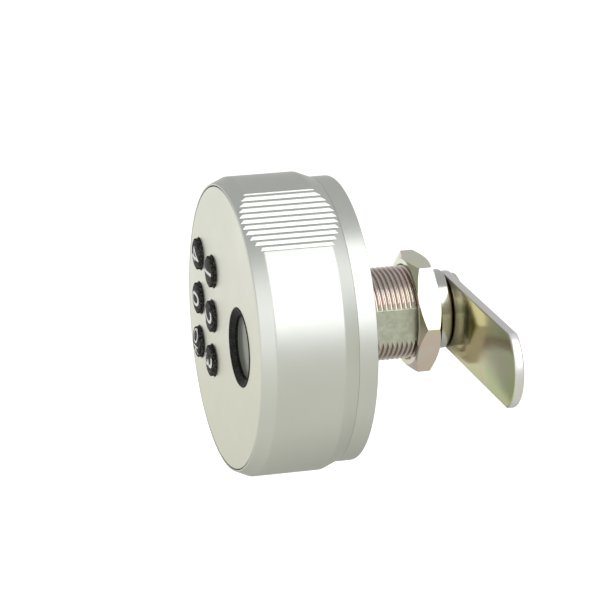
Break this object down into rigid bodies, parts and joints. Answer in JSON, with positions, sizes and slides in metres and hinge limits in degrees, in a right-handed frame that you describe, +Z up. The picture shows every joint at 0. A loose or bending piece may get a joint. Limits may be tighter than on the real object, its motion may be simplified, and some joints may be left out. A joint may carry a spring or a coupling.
{
  "type": "electronic cam lock",
  "caption": "Round keypad knob lock on a flatted threaded barrel with a hex nut and a straight cam; the knob turns a quarter to swing the cam.",
  "frame": {"origin": "centre of the base ring's rear face, on the barrel's axis, where the lock sits on the door", "axes": "+Y along the barrel towards the cam, -Y towards the keypad, +Z up as in the picture, +X towards the reader window and the cam's tip"},
  "size_m": [0.075, 0.052, 0.0604],
  "materials": {
    "satin_aluminium": "satin silver",
    "plate_aluminium": "fine matt silver",
    "yellow_zinc": "yellow-passivated zinc plating",
    "bright_zinc": "bright zinc plating",
    "key_rubber": "fine grained black",
    "mat_rubber": "smooth dark grey",
    "black_plastic": "fine moulded black",
    "window_plastic": "smooth dark grey",
    "board_laminate": "green solder mask",
    "pin_steel": "ground",
    "contact_brass": "plain"
  },
  "bodies": {
    "lock_base": {"base_ring": "satin_aluminium", "threaded_barrel": "yellow_zinc", "barrel_screws": "bright_zinc", "hex_nut": "yellow_zinc", "seal_ring": "mat_rubber"},
    "knob": {"knob_shell": "satin_aluminium", "front_plate": "plate_aluminium", "cam": "yellow_zinc", "cam_washer": "yellow_zinc", "cam_bolt": "yellow_zinc", "spindle": "bright_zinc", "spindle_washer": "bright_zinc", "spindle_nut": "bright_zinc", "through_screws": "bright_zinc", "board_screws": "bright_zinc", "keypad_mat": "mat_rubber", "sensor_bezel": "black_plastic", "battery_holder": "black_plastic", "inner_frame": "black_plastic", "buzzer": "black_plastic", "board_chips": "black_plastic", "sensor_window": "window_plastic", "circuit_board": "board_laminate", "reader_module": "board_laminate", "stop_pin": "pin_steel", "solenoid": "pin_steel", "coin_cell": "pin_steel", "cell_contact": "contact_brass"},
    "locking_pin": {"lock_pin": "pin_steel"},
    "key_1": {"key_1": "key_rubber"},
    "key_2": {"key_2": "key_rubber"},
    "key_3": {"key_3": "key_rubber"},
    "key_4": {"key_4": "key_rubber"},
    "key_0": {"key_0": "key_rubber"},
    "key_ok": {"key_ok": "key_rubber"}
  },
  "joints": [
    {"name": "knob_turn", "type": "hinge", "parent": "lock_base", "child": "knob", "pos_m": [0, 0, 0], "axis": [0, -1, 0], "range_deg": [0, 90]},
    {"name": "pin_slide", "type": "slide", "parent": "knob", "child": "locking_pin", "axis": [0, 1, 0], "range_m": [0, 0.0026]},
    {"name": "key_1_press", "type": "slide", "parent": "knob", "child": "key_1", "axis": [0, 1, 0], "range_m": [0, 0.0005], "stiffness_N_per_m": 1200, "springref_m": -0.0002, "deforming": ["keypad_mat"]},
    {"name": "key_2_press", "type": "slide", "parent": "knob", "child": "key_2", "axis": [0, 1, 0], "range_m": [0, 0.0005], "stiffness_N_per_m": 1200, "springref_m": -0.0002, "deforming": ["keypad_mat"]},
    {"name": "key_3_press", "type": "slide", "parent": "knob", "child": "key_3", "axis": [0, 1, 0], "range_m": [0, 0.0005], "stiffness_N_per_m": 1200, "springref_m": -0.0002, "deforming": ["keypad_mat"]},
    {"name": "key_4_press", "type": "slide", "parent": "knob", "child": "key_4", "axis": [0, 1, 0], "range_m": [0, 0.0005], "stiffness_N_per_m": 1200, "springref_m": -0.0002, "deforming": ["keypad_mat"]},
    {"name": "key_0_press", "type": "slide", "parent": "knob", "child": "key_0", "axis": [0, 1, 0], "range_m": [0, 0.0005], "stiffness_N_per_m": 1200, "springref_m": -0.0002, "deforming": ["keypad_mat"]},
    {"name": "key_ok_press", "type": "slide", "parent": "knob", "child": "key_ok", "axis": [0, 1, 0], "range_m": [0, 0.0005], "stiffness_N_per_m": 1200, "springref_m": -0.0002, "deforming": ["keypad_mat"]}
  ]
}
